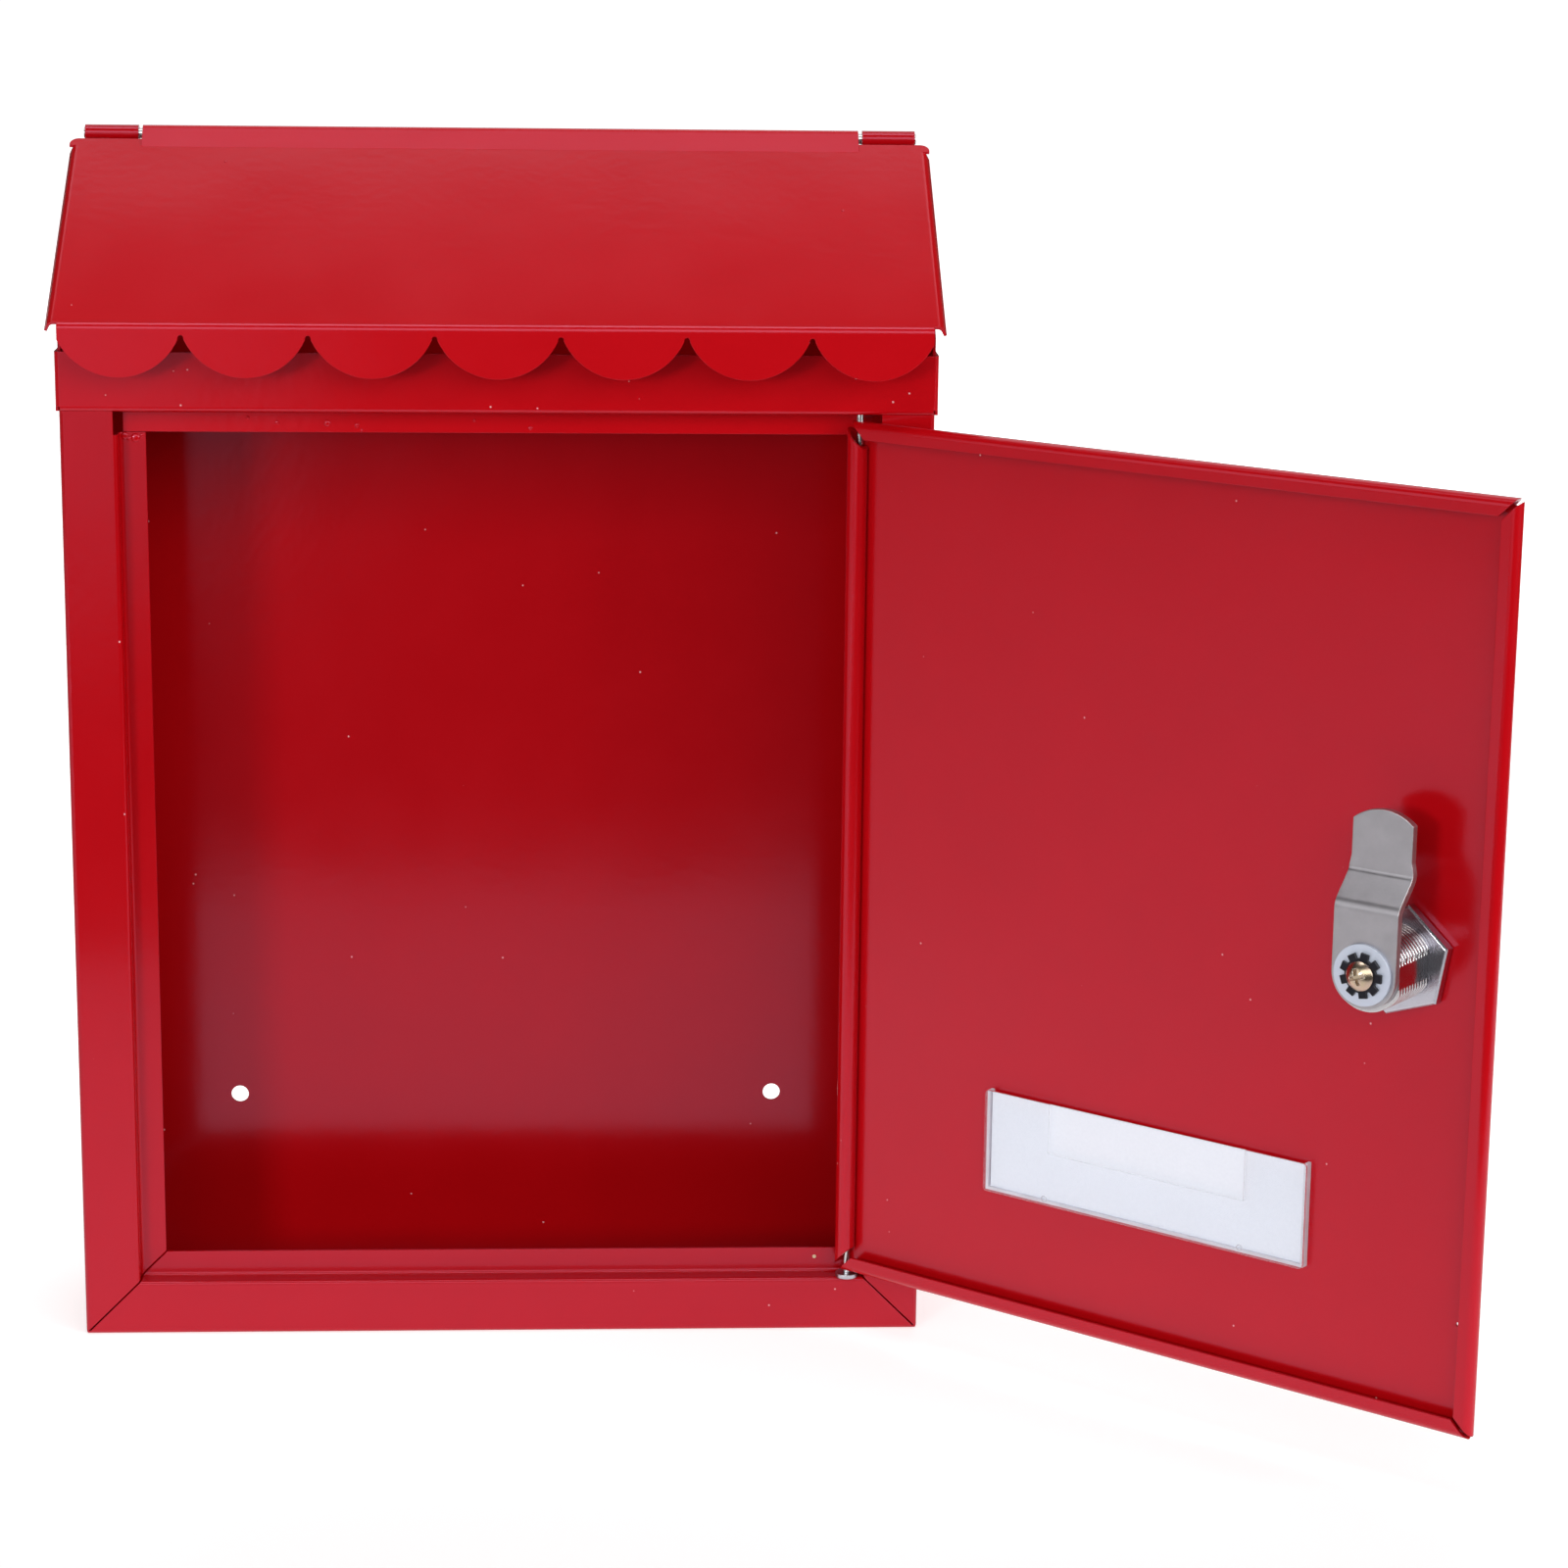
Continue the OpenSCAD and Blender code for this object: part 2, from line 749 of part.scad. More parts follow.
// Points of an arc, from one angle to the other
function arc(x, y, r, from, to) =
    [for (i = [0 : bend_steps]) let (a = from + (to - from) * i / bend_steps)
        [x + r * cos(a), y + r * sin(a)]];

// Outline of the blank: round foot, slightly narrower above the bends, with an arched tip
module cam_outline() {
    neck = cam_bend_z + 7.6;
    shoulder = neck + 2.5;
    circle(cam_w / 2);
    intersection() {
        polygon([[-cam_w / 2, 0], [cam_w / 2, 0], [cam_w / 2, neck], [cam_tip_w / 2, shoulder],
            [cam_tip_w / 2, cam_reach], [-cam_tip_w / 2, cam_reach],
            [-cam_tip_w / 2, shoulder], [-cam_w / 2, neck]]);
        union() {
            translate([-cam_w, -past]) square([2 * cam_w, cam_reach - cam_tip_r / 3]);
            translate([0, cam_reach - cam_tip_r]) circle(cam_tip_r, $fn = 96);
        }
    }
}

module cam_flat_washer() {
    color(blue_zinc) on_cam() translate([0, barrel_len + cam_t, 0]) difference() {
        along_lock(flat_washer_r, 0, flat_washer_t);
        along_lock(screw_r + 0.1, -past, flat_washer_t + past);
    }
}

// Star washer: a dark ring with square teeth that bite under the screw head
module cam_star_washer() {
    tooth_w = 2;
    color(black_steel) on_cam() translate([0, barrel_len + cam_t + flat_washer_t, 0]) difference() {
        union() {
            along_lock(star_root_r, 0, star_t);
            for (i = [0 : star_teeth - 1])
                rotate([0, (i + 0.5) * 360 / star_teeth, 0])
                    translate([star_root_r - 1, 0, -tooth_w / 2])
                        cube([star_r - star_root_r + 1, star_t, tooth_w]);
        }
        along_lock(screw_r + 0.1, -past, star_t + past);
    }
}

module cam_screw() {
    color(yellow_zinc) on_cam() translate([0, barrel_len + cam_t + flat_washer_t + star_t, 0]) {
        difference() {
            intersection() {
                along_lock(screw_head_r, 0, screw_head_h);
                translate([0, -2.3, 0]) sphere(r = 4.4, $fn = 64);
            }
            for (a = [0, 90])
                rotate([0, a + 20, 0])
                    translate([-0.45, screw_head_h - 1.1, -1.9]) cube([0.9, 3, 3.8]);
        }
        along_lock(screw_r, -8, 0.1);
    }
}

// Name holder: clear pocket behind the window of the door, open at its top edge
module name_holder() {
    x1 = pin_x - holder_u0;
    x0 = x1 - holder_w;
    y0 = -case_d + sheet;
    color(clear_plastic, 0.5) on_door() {
        difference() {
            union() {
                translate([x0, y0, holder_z0]) cube([holder_w, holder_t, holder_h]);
                holder_window(0);
            }
            // Pocket of the card, open at the top
            translate([x0 + holder_wall, y0 + holder_wall, holder_z0 + holder_wall])
                cube([holder_w - 2 * holder_wall, holder_t - 2 * holder_wall, holder_h]);
            thumb_notch(x0, y0 + holder_t - holder_wall);
        }
        // Round feet that peg the lower edge
        for (u = [60.3, 115.2])
            translate([pin_x - u, y0 + holder_t - 0.2, holder_z0 + 1.6])
                rotate([-90, 0, 0]) cylinder(r = 0.8, h = 0.5);
    }
}

// Wide notch in the inner wall, for a thumb to slide the card out
module thumb_notch(x0, y) {
    notch_w = 54.5;
    notch_h = 12.4;
    r = 1.6;
    translate([x0 + holder_w / 2 - 1.2, y - 0.3, holder_z0 + holder_h - notch_h])
        rotate([90, 0, 0]) mirror([0, 0, 1])
            linear_extrude(holder_wall + 1) rounded_plate(notch_w, notch_h + 5, r);
}

// Window of the door that the pane of the holder fills
module holder_window(play) {
    x1 = pin_x - holder_u0 - pane_inset;
    w = holder_w - 2 * pane_inset;
    h = holder_h - 2 * pane_inset + 2;
    depth = play > 0 ? sheet + 2 * past : sheet;
    translate([x1 - w / 2, -case_d - (play > 0 ? past : 0), holder_z0 + pane_inset - 1 - play])
        rotate([90, 0, 0]) mirror([0, 0, 1])
            linear_extrude(depth) rounded_plate(w + 2 * play, h + 2 * play, 1.5);
}

module name_card() {
    slack = 0.4;
    x1 = pin_x - holder_u0 - holder_wall - slack;
    w = holder_w - 2 * holder_wall - 2 * slack;
    color(card_white) on_door()
        translate([x1 - w, -case_d + sheet + holder_wall + 0.1, holder_z0 + holder_wall + 0.02])
            cube([w, card_t, holder_h - holder_wall - 0.6]);
}

case_shell();
front_band();
lid();
lid_hinge_pin();
door();
door_hinge_pin();
hinge_washer();
lock_body();
lock_plug();
lock_wafers();
wafer_springs();
lock_nut();
lock_cam();
cam_flat_washer();
cam_star_washer();
cam_screw();
name_holder();
name_card();
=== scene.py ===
"""Looks of a wall mailbox in red powder-coated sheet steel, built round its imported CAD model.

Metres, in the frame of the CAD model: X right as seen from the front, Y back to the wall, Z up.
Pieces on the door are modelled with the door shut and then swung to where the CAD model has it.
"""

import json
import math

import bmesh
import bpy
from mathutils import Matrix, Vector


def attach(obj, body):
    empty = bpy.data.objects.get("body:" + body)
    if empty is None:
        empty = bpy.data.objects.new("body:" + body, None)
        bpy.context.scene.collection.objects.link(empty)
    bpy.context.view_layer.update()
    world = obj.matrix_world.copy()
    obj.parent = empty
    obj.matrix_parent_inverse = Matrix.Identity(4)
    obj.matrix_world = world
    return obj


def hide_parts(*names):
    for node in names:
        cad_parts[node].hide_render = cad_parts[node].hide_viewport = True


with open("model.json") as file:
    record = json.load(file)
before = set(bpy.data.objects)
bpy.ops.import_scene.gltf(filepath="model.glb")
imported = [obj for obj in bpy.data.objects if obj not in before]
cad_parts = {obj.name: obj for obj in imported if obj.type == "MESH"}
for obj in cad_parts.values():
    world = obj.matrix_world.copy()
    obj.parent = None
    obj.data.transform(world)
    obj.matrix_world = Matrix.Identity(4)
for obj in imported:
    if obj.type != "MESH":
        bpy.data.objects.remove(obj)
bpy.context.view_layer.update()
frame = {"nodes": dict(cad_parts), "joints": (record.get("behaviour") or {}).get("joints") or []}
cad = frame["nodes"]


# Case
# Back, floor, sides and stepped flanges, folded from one sheet of 0.7 mm steel and open at the front.
# It is powder coated: the powder melts into a thick gloss film with a soft orange peel, and here
# and there a grain of dust is caught under it.

def srgb(code):
    """Linear colour, with alpha, of a hex sRGB code."""
    parts = [int(code[i:i + 2], 16) / 255 for i in (1, 3, 5)]
    return [c / 12.92 if c <= 0.04045 else ((c + 0.055) / 1.055) ** 2.4 for c in parts] + [1.0]


def add(tree, kind, inputs, **settings):
    """One shader node; each of its inputs takes a value or the output of another node."""
    made = tree.nodes.new("ShaderNode" + kind)
    for key, value in settings.items():
        setattr(made, key, value)
    for key, value in inputs.items():
        if isinstance(value, bpy.types.NodeSocket):
            tree.links.new(value, made.inputs[key])
        else:
            made.inputs[key].default_value = value
    return made


def material(name):
    """Empty node material, with the object coordinates that its patterns are laid out in."""
    mat = bpy.data.materials.new(name)
    mat.use_nodes = True
    mat.node_tree.nodes.clear()
    return mat, mat.node_tree, add(mat.node_tree, "TexCoord", {}).outputs["Object"]


def per_mm(size):
    """Texture scale that gives features of this size in millimetres."""
    return 1000 / size


def powder_coat(name, red, roughness, nibs):
    """Gloss powder coat on sheet steel; nibs is the share of the cells that hold a grain of dust."""
    mat, tree, place = material(name)
    # The sheet isn't quite flat: long waves from rolling and folding bend the reflections
    waves = add(tree, "TexNoise", {"Vector": place, "Scale": per_mm(55), "Detail": 1.0,
                                   "Roughness": 0.4})
    # Orange peel about 2.5 mm across
    peel = add(tree, "TexNoise", {"Vector": place, "Scale": per_mm(2.5), "Detail": 1.5,
                                  "Roughness": 0.5})
    # Dust grains of 0.5 mm, one in every few square centimetres
    cells = add(tree, "TexVoronoi", {"Vector": place, "Scale": per_mm(5)}, feature="F1")
    chosen = add(tree, "Math", {0: cells.outputs["Color"], 1: 1 - nibs}, operation="GREATER_THAN")
    near = add(tree, "MapRange", {"Value": cells.outputs["Distance"],
                                  "From Min": 0.06, "From Max": 0.03})
    nib = add(tree, "Math", {0: chosen.outputs[0], 1: near.outputs[0]},
              operation="MULTIPLY").outputs[0]
    # Film thickness varies a little, and with it the depth of the red
    cloud = add(tree, "TexNoise", {"Vector": place, "Scale": per_mm(18), "Detail": 2.0})
    depth = add(tree, "MapRange", {"Value": cloud.outputs["Fac"], "To Min": 0.96, "To Max": 1.04})
    shade = add(tree, "HueSaturation", {"Value": depth.outputs[0], "Color": srgb(red)})
    colour = add(tree, "Mix", {0: nib, 6: shade.outputs[0], 7: srgb("#DC9896")}, data_type="RGBA")
    dull = add(tree, "MapRange", {"Value": cloud.outputs["Fac"],
                                  "To Min": roughness - 0.02, "To Max": roughness + 0.03})
    edges = add(tree, "Bevel", {"Radius": 0.00025}, samples=4)
    bent = add(tree, "Bump", {"Strength": 1.0, "Distance": 0.00035, "Height": waves.outputs["Fac"],
                              "Normal": edges.outputs[0]})
    skin = add(tree, "Bump", {"Strength": 1.0, "Distance": 0.00002, "Height": peel.outputs["Fac"],
                              "Normal": bent.outputs[0]})
    grains = add(tree, "Bump", {"Strength": 0.6, "Distance": 0.00012, "Height": nib,
                                "Normal": skin.outputs[0]})
    # The clear top of the film mirrors white light faintly pink
    coat = add(tree, "BsdfPrincipled", {"Base Color": colour.outputs[2], "Roughness": dull.outputs[0],
                                        "Specular Tint": srgb("#FFCBF5"), "IOR": 1.5,
                                        "Normal": grains.outputs[0]})
    add(tree, "OutputMaterial", {"Surface": coat.outputs[0]})
    return mat


def paint(node, mat):
    """Gives a CAD node its finish."""
    cad[node].data.materials.clear()
    cad[node].data.materials.append(mat)


# Same coat as band, lid and door, but its red #A2040B is painted darker: painted shade for the dim
# inside of the case.
paint("case_shell", powder_coat("red gloss powder coat, case, darkened for painted shade", "#A2040B", 0.15, 0.16))


# Front band
# Strip of the same steel over the door. Its wings lap round the sides and are spot welded there
# before the coating, so that paint bridges the seam. Weld spatter and drops of coat stay on the
# landing under it, as small beads.

def finish_piece(name, bm, body, mat, smooth=True):
    """Makes an object of a bmesh, hands it to its body, and gives it its finish."""
    bmesh.ops.recalc_face_normals(bm, faces=bm.faces)
    for face in bm.faces:
        face.smooth = smooth
    mesh = bpy.data.meshes.new(name)
    bm.to_mesh(mesh)
    bm.free()
    if smooth:
        mesh.set_sharp_from_angle(angle=math.radians(30))
    obj = bpy.data.objects.new(name, mesh)
    bpy.context.collection.objects.link(obj)
    obj.data.materials.append(mat)
    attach(obj, body)
    return obj


def beads(name, spots, out, body, mat):
    """Flat beads of coat on a sheet: (x, y, z, radius) each, standing out this way."""
    flatness = 0.4
    bm = bmesh.new()
    for x, y, z, r in spots:
        bead = bmesh.ops.create_icosphere(bm, subdivisions=3, radius=r)
        bmesh.ops.transform(bm, verts=bead["verts"], matrix=Matrix.Translation((x, y, z))
                            @ Matrix.Scale(flatness, 4, Vector(out)))
    return finish_piece(name, bm, body, mat)


band_coat = powder_coat("red gloss powder coat, band", "#AE050D", 0.15, 0.35)
paint("front_band", band_coat)
landing = -0.0496
toward_wall = (0, 1, 0)
beads("band_beads", [(-0.0901, landing, 0.0790, 0.0009), (-0.0889, landing, 0.0783, 0.0006),
                     (-0.0875, landing, 0.0785, 0.0011), (-0.0858, landing, 0.0791, 0.0005),
                     (-0.0605, landing, 0.0835, 0.0004), (-0.0534, landing, 0.0823, 0.0005),
                     (-0.0415, landing, 0.0822, 0.0008), (-0.0344, landing, 0.0817, 0.0006),
                     (-0.0332, landing, 0.0805, 0.0004), (-0.0061, landing, 0.0830, 0.0004),
                     (0.0074, landing, 0.0812, 0.0005)],
      toward_wall, "case", band_coat)

# A drop of filler shows pale where the coat came off it, low on the right
filler, tree, place = material("bare filler, chip in the coat")
mottle = add(tree, "TexNoise", {"Vector": place, "Scale": per_mm(0.5), "Detail": 2.0})
pale = add(tree, "Mix", {0: mottle.outputs["Fac"], 6: srgb("#E2D2B0"), 7: srgb("#B98F72")},
           data_type="RGBA")
chip = add(tree, "BsdfPrincipled", {"Base Color": pale.outputs[2], "Roughness": 0.6})
add(tree, "OutputMaterial", {"Surface": chip.outputs[0]})
beads("coat_chip", [(0.079, landing, -0.1309, 0.0005)], toward_wall, "case", filler)


# Lid
# One sheet, rolled round the hinge pin behind, flared at the sides and stamped into scallops in
# front. Its slope faces up, so it shows the coat at its glossiest and palest. Two grains stand out.

lid_coat = powder_coat("red gloss powder coat, lid", "#AE050D", 0.17, 0.14)
paint("lid", lid_coat)
off_the_slope = (0, -0.539, 0.842)
beads("lid_beads", [(-0.06782, -0.01305, 0.14165, 0.0004), (0.0837, -0.02799, 0.1321, 0.0004)],
      off_the_slope, "lid", lid_coat)


# Door
# Sheet of the same steel with its edges rolled over on the inside, hung on a wire pin at its right.
# It has the same coat all round, and shows its inner face while it stands open.

paint("door", powder_coat("red gloss powder coat, door", "#AE050D", 0.17, 0.25))


# Hinge pins
# Bright drawn steel wire, cut to length and pushed in after the coating. Drawing leaves it smooth
# along its length, with faint lines that stretch its highlight.

def plated_metal(name, colour, roughness, tint=None, wear=0.25):
    """Bare or zinc-plated steel: a grey metal with uneven dullness, and edges rubbed bright."""
    mat, tree, place = material(name)
    cloud = add(tree, "TexNoise", {"Vector": place, "Scale": per_mm(3.5), "Detail": 3.0,
                                   "Roughness": 0.6})
    grain = add(tree, "TexNoise", {"Vector": place, "Scale": per_mm(0.6), "Detail": 2.0})
    blend = add(tree, "Mix", {0: cloud.outputs["Fac"], 6: srgb(colour), 7: srgb(tint or colour)},
                data_type="RGBA")
    dull = add(tree, "MapRange", {"Value": cloud.outputs["Fac"],
                                  "To Min": roughness * 0.8, "To Max": roughness * 1.25})
    # Handling rubs the edges: the wide bevel normal parts from the true one there
    edges = add(tree, "Bevel", {"Radius": 0.0003}, samples=4)
    true = add(tree, "NewGeometry", {})
    along = add(tree, "VectorMath", {0: edges.outputs[0], 1: true.outputs["Normal"]},
                operation="DOT_PRODUCT")
    rubbed = add(tree, "MapRange", {"Value": along.outputs["Value"],
                                    "From Min": 0.99, "From Max": 0.8, "To Max": wear})
    bright = add(tree, "Mix", {0: rubbed.outputs[0], 6: blend.outputs[2], 7: srgb("#F2F2F2")},
                 data_type="RGBA")
    soft = add(tree, "Bump", {"Strength": 1.0, "Distance": 0.000012, "Height": grain.outputs["Fac"],
                              "Normal": edges.outputs[0]})
    metal = add(tree, "BsdfPrincipled", {"Base Color": bright.outputs[2], "Metallic": 1.0,
                                         "Roughness": dull.outputs[0], "Normal": soft.outputs[0]})
    add(tree, "OutputMaterial", {"Surface": metal.outputs[0]})
    return mat


paint("lid_hinge_pin", plated_metal("bright drawn steel wire, lid pin", "#CFCFCF", 0.22))
paint("door_hinge_pin", plated_metal("bright drawn steel wire, door pin", "#CFCFCF", 0.22))


# Hinge washer
# Small zinc-plated steel washer that the door runs on, loose on its pin. Clear passivation gives
# the zinc a cold, bluish grey.

paint("hinge_washer", plated_metal("zinc-plated steel, hinge washer", "#AFB4BE", 0.3, "#C6C9CE"))


# Lock body
# Die-cast zinc barrel with a fine thread and two flats, and a round head outside the door.
# It is nickel plated: the crests of the thread catch the light and its roots stay dark.

hinge = next(joint for joint in frame["joints"] if joint["name"] == "door_hinge")
PIN = Vector(hinge["pos_m"])
OPENED_BY = math.radians(-hinge["range_deg"][0])
DOOR_FACE = -0.055
LOCK = Vector((-0.0659, DOOR_FACE, -0.0234))


def swing_open(bm):
    """Swings a piece modelled on the shut door to the door's place in the CAD model."""
    turn = Matrix.Rotation(OPENED_BY, 4, "Z")
    bm.transform(Matrix.Translation(PIN) @ turn @ Matrix.Translation(-PIN))


def spin_profile(bm, points, steps, closed=False, rise=0.0):
    """Spins (radius, depth) points round the lock axis; rise moves them back over the whole turn."""
    verts = [bm.verts.new((LOCK.x + r, LOCK.y + y, LOCK.z)) for r, y in points]
    pairs = list(zip(verts, verts[1:])) + ([(verts[-1], verts[0])] if closed else [])
    edges = [bm.edges.new(pair) for pair in pairs]
    bmesh.ops.spin(bm, geom=verts + edges, cent=LOCK, axis=(0, 1, 0), dvec=(0, rise / steps, 0),
                   angle=math.tau, steps=steps)
    bmesh.ops.remove_doubles(bm, verts=bm.verts, dist=1e-6)


thread = bmesh.new()
thread_pitch, crest, root, turns = 0.00125, 0.009, 0.0084, 17
barrel_long, to_flat = 0.0172, 0.008
teeth = [(root if k % 4 in (0, 1) else crest,
          (k // 4 - 2) * thread_pitch + (0, 0.25, 0.45, 0.8)[k % 4] * thread_pitch)
         for k in range(4 * turns)]
spin_profile(thread, teeth, 96, rise=thread_pitch)
# Cut off at both ends, and then at the two flats that stop the lock from turning in the door
for at, outward in (((0, DOOR_FACE, 0), (0, -1, 0)), ((0, DOOR_FACE + barrel_long, 0), (0, 1, 0)),
                    ((LOCK.x - to_flat, 0, 0), (-1, 0, 0)), ((LOCK.x + to_flat, 0, 0), (1, 0, 0))):
    cut = bmesh.ops.bisect_plane(thread, geom=thread.verts[:] + thread.edges[:] + thread.faces[:],
                                 plane_co=at, plane_no=outward, clear_outer=True)
    rim_edges = [e for e in cut["geom_cut"] if isinstance(e, bmesh.types.BMEdge)]
    bmesh.ops.holes_fill(thread, edges=rim_edges)
nickel = plated_metal("nickel-plated zinc casting, lock body", "#C9C7C8", 0.16, "#B9B8BC", wear=0.5)
swing_open(thread)
barrel = finish_piece("threaded_barrel", thread, "door", nickel)
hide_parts("lock_body")

head = bmesh.new()
spin_profile(head, [(0.00768, -0.0022), (0.0103, -0.0022), (0.0108, -0.002), (0.011, -0.0015),
                    (0.011, 0), (0.00558, 0), (0.00558, -0.0009), (0.00768, -0.0009)],
             64, closed=True)
swing_open(head)
finish_piece("lock_head", head, "door", nickel)


# Lock plug, wafers and springs
# The plug turns in the barrel and is plated like it. The brass wafers and wire springs inside it
# show only through the keyway.

paint("lock_plug", plated_metal("nickel-plated zinc casting, plug", "#C4C3C6", 0.2, "#D2D1D3"))
paint("lock_wafers", plated_metal("stamped brass, wafers", "#C8A95C", 0.3, "#B8964A"))
paint("wafer_springs", plated_metal("spring wire, wafer springs", "#B8B8BA", 0.3))


# Lock nut
# Hexagon nut of zinc-plated steel that clamps the lock to the door. Its passivation shows a faint
# violet where it is thin, on the chamfered rim.

nut = bmesh.new()
across_flats, nut_thick, chamfer, sheet, tightened_to = 0.023, 0.003, 0.00045, 0.0007, -10
to_corner = across_flats / 2 / math.cos(math.pi / 6)
bmesh.ops.create_cone(nut, cap_ends=True, segments=6, radius1=to_corner, radius2=to_corner,
                      depth=nut_thick)
bmesh.ops.bevel(nut, geom=[e for e in nut.edges if abs(e.verts[0].co.z - e.verts[1].co.z) < 1e-6],
                offset=chamfer, segments=1, profile=0.5, affect="EDGES", material=-1)
nut.transform(Matrix.Translation(LOCK + Vector((0, sheet + nut_thick / 2, 0)))
              @ Matrix.Rotation(math.radians(-90), 4, "X")
              @ Matrix.Rotation(math.radians(tightened_to), 4, "Z"))
swing_open(nut)
lock_nut = finish_piece("hexagon_nut", nut, "door",
                        plated_metal("zinc-plated steel, nut", "#B9B6C4", 0.2, "#CFCFD6", wear=0.6),
                        smooth=False)
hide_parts("lock_nut")


# Cam
# Steel strip, blanked, bent twice and zinc plated satin. The bends are a little mottled, and the
# blanked edges are rubbed bright.

paint("lock_cam", plated_metal("satin zinc-plated steel, cam", "#A3A0A5", 0.36, "#B5B2B7", wear=0.7))


# Cam washers
# A flat washer with blue passivated zinc, and on it a star washer in black oxide, whose teeth
# bite under the head of the screw. The blue film is satin and mirrors little.

paint("cam_flat_washer", plated_metal("blue zinc-plated steel, flat washer", "#C3CBDC", 0.6, "#D5DAE4"))
paint("cam_star_washer", plated_metal("black oxide steel, star washer", "#26262A", 0.4, "#33333A",
                                      wear=0.1))


# Cam screw
# Pan head screw in yellow chromated zinc, whose film shines from gold to pink and green.
# The cross recess is dark inside and worn at its rim.

paint("cam_screw", plated_metal("yellow zinc-plated steel, cam screw", "#BDB98A", 0.25, "#C9A3A6",
                                wear=0.5))


# Name holder
# Moulded clear plastic pocket behind a window of the door: a front plate with a thumb notch, on a
# three-sided rim. It is clipped in from behind. Its faces are glossy and its rounded rims catch light.

def slab(bm, outline, near, far, soft):
    """Plate with this outline of (across, up) points, between two depths, with softened rims."""
    front = bm.faces.new([bm.verts.new((x, near, z)) for x, z in outline])
    copied = bmesh.ops.extrude_face_region(bm, geom=[front])["geom"]
    back = [v for v in copied if isinstance(v, bmesh.types.BMVert)]
    bmesh.ops.translate(bm, vec=(0, far - near, 0), verts=back)
    ends = set(front.verts) | set(back)
    bmesh.ops.bevel(bm, geom=[e for e in bm.edges if ends.issuperset(e.verts)],
                    offset=soft, segments=2, profile=0.5, affect="EDGES", material=-1)


def round_corner(x, z, r, start):
    """Four points of a rounded corner, counted from this angle."""
    angles = [math.radians(start + 30 * k) for k in range(4)]
    return [(x + r * math.cos(angle), z + r * math.sin(angle)) for angle in angles]


left, low, wide, high = -0.0451, -0.102, 0.0897, 0.0258
corner, inset, notch_deep = 0.001, 0.0002, 0.0124
back_face, rim_deep, plate_back, plate_front = DOOR_FACE + sheet, 0.00208, 0.0021, 0.0029
x0, x1, z0, z1 = left, left + wide, low, low + high
n0, n1, nz = left + 0.0164, left + 0.0709, z1 - notch_deep
plate = (round_corner(x0 + corner, z0 + corner, corner, 180)
         + round_corner(x1 - corner, z0 + corner, corner, 270)
         + round_corner(x1 - corner, z1 - corner, corner, 0)
         + [(n1, z1), (n1, nz), (n0, nz), (n0, z1)]
         + round_corner(x0 + corner, z1 - corner, corner, 90))
rim = [(x0 + inset, z0 + inset), (x1 - inset, z0 + inset), (x1 - inset, z1 - inset),
       (x1 - corner, z1 - inset), (x1 - corner, z0 + corner), (x0 + corner, z0 + corner),
       (x0 + corner, z1 - inset), (x0 + inset, z1 - inset)]
pocket = bmesh.new()
slab(pocket, plate, back_face + plate_back, back_face + plate_front, 0.00018)
# Two marks that the ejector pins of the mould leave
for across in (PIN.x - 0.0603, PIN.x - 0.1152):
    mark = bmesh.ops.create_cone(pocket, cap_ends=True, segments=20, radius1=0.0008, radius2=0.0006,
                                 depth=0.0004)
    bmesh.ops.transform(pocket, verts=mark["verts"],
                        matrix=Matrix.Translation((across, back_face + plate_front, z0 + 0.0016))
                        @ Matrix.Rotation(math.radians(-90), 4, "X"))
swing_open(pocket)

holder_mat, tree, place = material("clear moulded plastic, name holder")
# Moulding leaves slow ripples in its faces
ripple = add(tree, "TexNoise", {"Vector": place, "Scale": per_mm(9), "Detail": 1.0})
rims = add(tree, "Bevel", {"Radius": 0.00025}, samples=4)
flow = add(tree, "Bump", {"Strength": 1.0, "Distance": 0.00015, "Height": ripple.outputs["Fac"],
                          "Normal": rims.outputs[0]})
# Each face mirrors a few per cent of the light and lets the rest through to the card
veil = add(tree, "Fresnel", {"IOR": 1.2, "Normal": flow.outputs[0]})
clear = add(tree, "BsdfTransparent", {"Color": srgb("#FFFFFF")})
shine = add(tree, "BsdfGlossy", {"Color": srgb("#FFFFFF"), "Roughness": 0.08,
                                 "Normal": flow.outputs[0]})
face = add(tree, "MixShader", {0: veil.outputs[0], 1: clear.outputs[0], 2: shine.outputs[0]})
# Light that runs inside the plastic comes out at its edges, so they look milky grey
true = add(tree, "NewGeometry", {})
along = add(tree, "VectorMath", {0: rims.outputs[0], 1: true.outputs["Normal"]},
            operation="DOT_PRODUCT")
at_edge = add(tree, "MapRange", {"Value": along.outputs["Value"], "From Min": 0.995, "From Max": 0.9,
                                 "To Max": 0.75})
milk = add(tree, "BsdfDiffuse", {"Color": srgb("#C2C4CE")})
plastic = add(tree, "MixShader", {0: at_edge.outputs[0], 1: face.outputs[0], 2: milk.outputs[0]})
add(tree, "OutputMaterial", {"Surface": plastic.outputs[0]})
holder = finish_piece("card_pocket", pocket, "door", holder_mat, smooth=False)
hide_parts("name_holder")

edging = bmesh.new()
slab(edging, rim, back_face, back_face + rim_deep, 0.0001)
swing_open(edging)
rim_mat, tree, place = material("clear moulded plastic, rim of the holder")
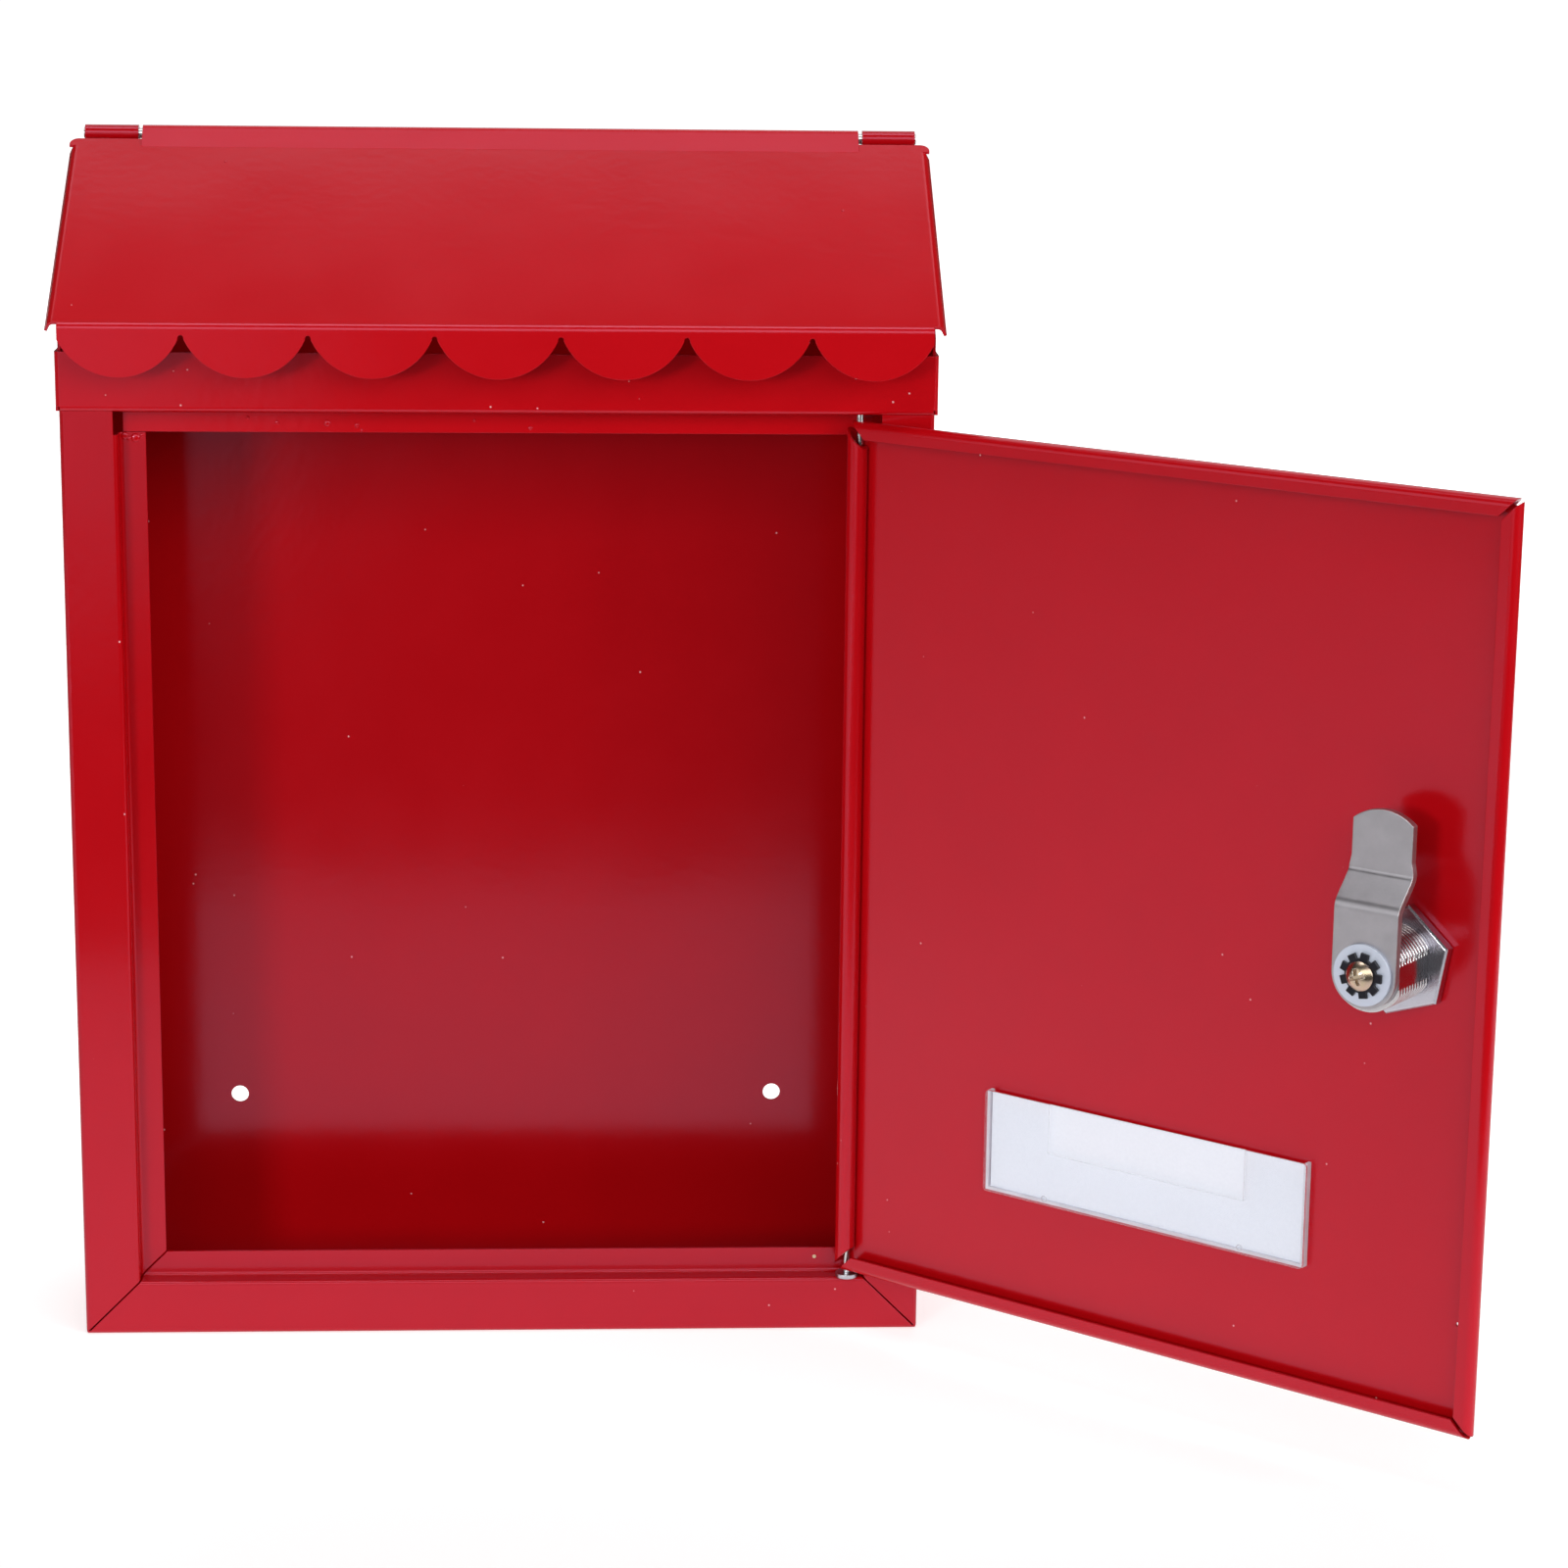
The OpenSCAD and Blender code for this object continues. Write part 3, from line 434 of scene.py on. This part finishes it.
# The thick rim gathers light along its length and looks milky, a little unevenly
fog = add(tree, "TexNoise", {"Vector": place, "Scale": per_mm(6), "Detail": 1.0})
amount = add(tree, "MapRange", {"Value": fog.outputs["Fac"], "To Min": 0.55, "To Max": 0.85})
inside = add(tree, "BsdfTransparent", {"Color": srgb("#FFFFFF")})
scatter = add(tree, "BsdfDiffuse", {"Color": srgb("#E3E5EE")})
soft = add(tree, "MixShader", {0: amount.outputs[0], 1: inside.outputs[0], 2: scatter.outputs[0]})
gloss = add(tree, "BsdfGlossy", {"Color": srgb("#FFFFFF"), "Roughness": 0.1})
sheen = add(tree, "MixShader", {0: 0.06, 1: soft.outputs[0], 2: gloss.outputs[0]})
add(tree, "OutputMaterial", {"Surface": sheen.outputs[0]})
finish_piece("pocket_rim", edging, "door", rim_mat, smooth=False)


# Name card
# Plain white card, cut to slide into the pocket behind the clear plate. It is uncoated, so it is
# matt, with a fine even fibre.

card_mat, tree, place = material("plain white card, name card")
fibre = add(tree, "TexNoise", {"Vector": place, "Scale": per_mm(0.8), "Detail": 3.0})
tone = add(tree, "Mix", {0: fibre.outputs["Fac"], 6: srgb("#DEE2EC"), 7: srgb("#E6EAF3")},
           data_type="RGBA")
rough = add(tree, "Bump", {"Strength": 0.5, "Distance": 0.00002, "Height": fibre.outputs["Fac"]})
paper = add(tree, "BsdfPrincipled", {"Base Color": tone.outputs[2], "Roughness": 0.8,
                                     "Normal": rough.outputs[0]})
add(tree, "OutputMaterial", {"Surface": paper.outputs[0]})
paint("name_card", card_mat)


# Floor
# Plain white studio sweep. It ends 0.4 m in front, so only the lower parts of upright faces mirror
# it, and runs on at the left, where the open door mirrors it. Behind, its painted glow, not a lamp,
# makes it pure white.

floor_mesh = bpy.data.meshes.new("floor")
floor_bm = bmesh.new()
just_under = -0.1486
outline = ((-0.3, -0.4), (0.6, -0.4), (1.2, 0.4), (9, 30),
           (-9, 30), (-3, 0.4), (-3, -0.9), (-0.45, -0.9))
floor_bm.faces.new([floor_bm.verts.new((x, y, just_under)) for x, y in outline])
floor_bm.to_mesh(floor_mesh)
floor_bm.free()
floor = bpy.data.objects.new("floor", floor_mesh)
bpy.context.collection.objects.link(floor)
floor_mat, tree, place = material("white studio sweep")
# Painted glow of its own, not lamplight: nothing at the front rim or far out at the left, full behind
# the object
at = add(tree, "SeparateXYZ", {0: place})
near = add(tree, "MapRange", {"Value": at.outputs["Y"], "From Min": -0.4, "From Max": 0.15,
                              "To Max": 0.8})
side = add(tree, "MapRange", {"Value": at.outputs["X"], "From Min": -0.45, "From Max": -0.15})
far = add(tree, "MapRange", {"Value": at.outputs["Y"], "From Min": 0.25, "From Max": 1.0})
where = add(tree, "Math", {0: side.outputs[0], 1: far.outputs[0]}, operation="MAXIMUM")
table = add(tree, "Math", {0: near.outputs[0], 1: where.outputs[0]}, operation="MULTIPLY")
sweep_glow_strength = add(tree, "Math", {0: far.outputs[0], 1: 0.25, 2: table.outputs[0]}, operation="MULTIPLY_ADD")
white = add(tree, "BsdfDiffuse", {"Color": srgb("#E4E4E4")})
glow = add(tree, "Emission", {"Color": srgb("#FFFFFF"), "Strength": sweep_glow_strength.outputs[0]})
both = add(tree, "AddShader", {0: white.outputs[0], 1: glow.outputs[0]})
add(tree, "OutputMaterial", {"Surface": both.outputs[0]})
floor.data.materials.append(floor_mat)


# Light
# Soft studio light: a wide softbox behind the camera and one at each side, three overhead for the
# sheen of the lid, a small one at the left that throws the soft shadow of the cam, and a low card
# that the upper left of the case mirrors. The room is dim.

def softbox(name, place, target, size, power):
    """Area light of this width and height that faces the target."""
    lamp = bpy.data.lights.new(name, "AREA")
    lamp.shape = "RECTANGLE"
    lamp.size, lamp.size_y = size
    lamp.energy = power
    obj = bpy.data.objects.new(name, lamp)
    obj.location = place
    obj.rotation_euler = (Vector(target) - Vector(place)).to_track_quat("-Z", "Y").to_euler()
    bpy.context.collection.objects.link(obj)


softbox("overhead softbox", (0.0, 1.58, 1.2), (0, 1.58, 0), (1.4, 2.4), 13)
softbox("middle overhead softbox", (0.0, 0.03, 1.21), (0, 0.03, 0), (1.4, 0.22), 0.95)
softbox("front overhead softbox", (0.0, -0.28, 1.25), (0, -0.28, 0), (1.0, 0.4), 5)
softbox("front softbox", (0.2, -1.55, 0.68), (0, 0, 0), (2.4, 0.8), 15)
softbox("right softbox", (1.5, -0.9, 0.5), (0, 0, 0), (0.8, 1.0), 18)
softbox("far left softbox", (-1.5, -0.9, 0.6), (0, 0, 0), (0.8, 1.0), 3)
softbox("left softbox", (-0.57, -1.07, 0.19), (0.2, -0.15, 0), (0.2, 0.2), 4)
softbox("low left card", (-0.62, -2.0, -0.1), (-0.1, 0, 0.05), (0.8, 0.45), 0.8)

world = bpy.data.worlds.new("room")
bpy.context.scene.world = world
world.use_nodes = True
world.node_tree.nodes["Background"].inputs["Color"].default_value = srgb("#FFFFFF")
world.node_tree.nodes["Background"].inputs["Strength"].default_value = 0.05


# Camera
# Fitted to the photo: almost square on, a little above the object and turned slightly right, with a
# long lens about a metre away.

eye, focal_mm, sensor_mm = (0.01936, -1.00466, 0.21818), 91.09, 36
yaw, pitch, roll = math.radians(3.025), math.radians(13.258), math.radians(-0.693)
forward = Vector((math.sin(yaw) * math.cos(pitch), math.cos(yaw) * math.cos(pitch), -math.sin(pitch)))
right = Vector((math.cos(yaw), -math.sin(yaw), 0))
down = forward.cross(right)
right, down = (math.cos(roll) * right + math.sin(roll) * down,
               math.cos(roll) * down - math.sin(roll) * right)
lens = bpy.data.cameras.new("camera")
lens.lens = focal_mm
lens.sensor_width = sensor_mm
lens.clip_end = 100
camera = bpy.data.objects.new("camera", lens)
bpy.context.collection.objects.link(camera)
camera.matrix_world = (Matrix.Translation(eye)
                       @ Matrix((right, -down, -forward)).transposed().to_4x4())
bpy.context.scene.camera = camera
bpy.context.scene.view_settings.view_transform = "Standard"
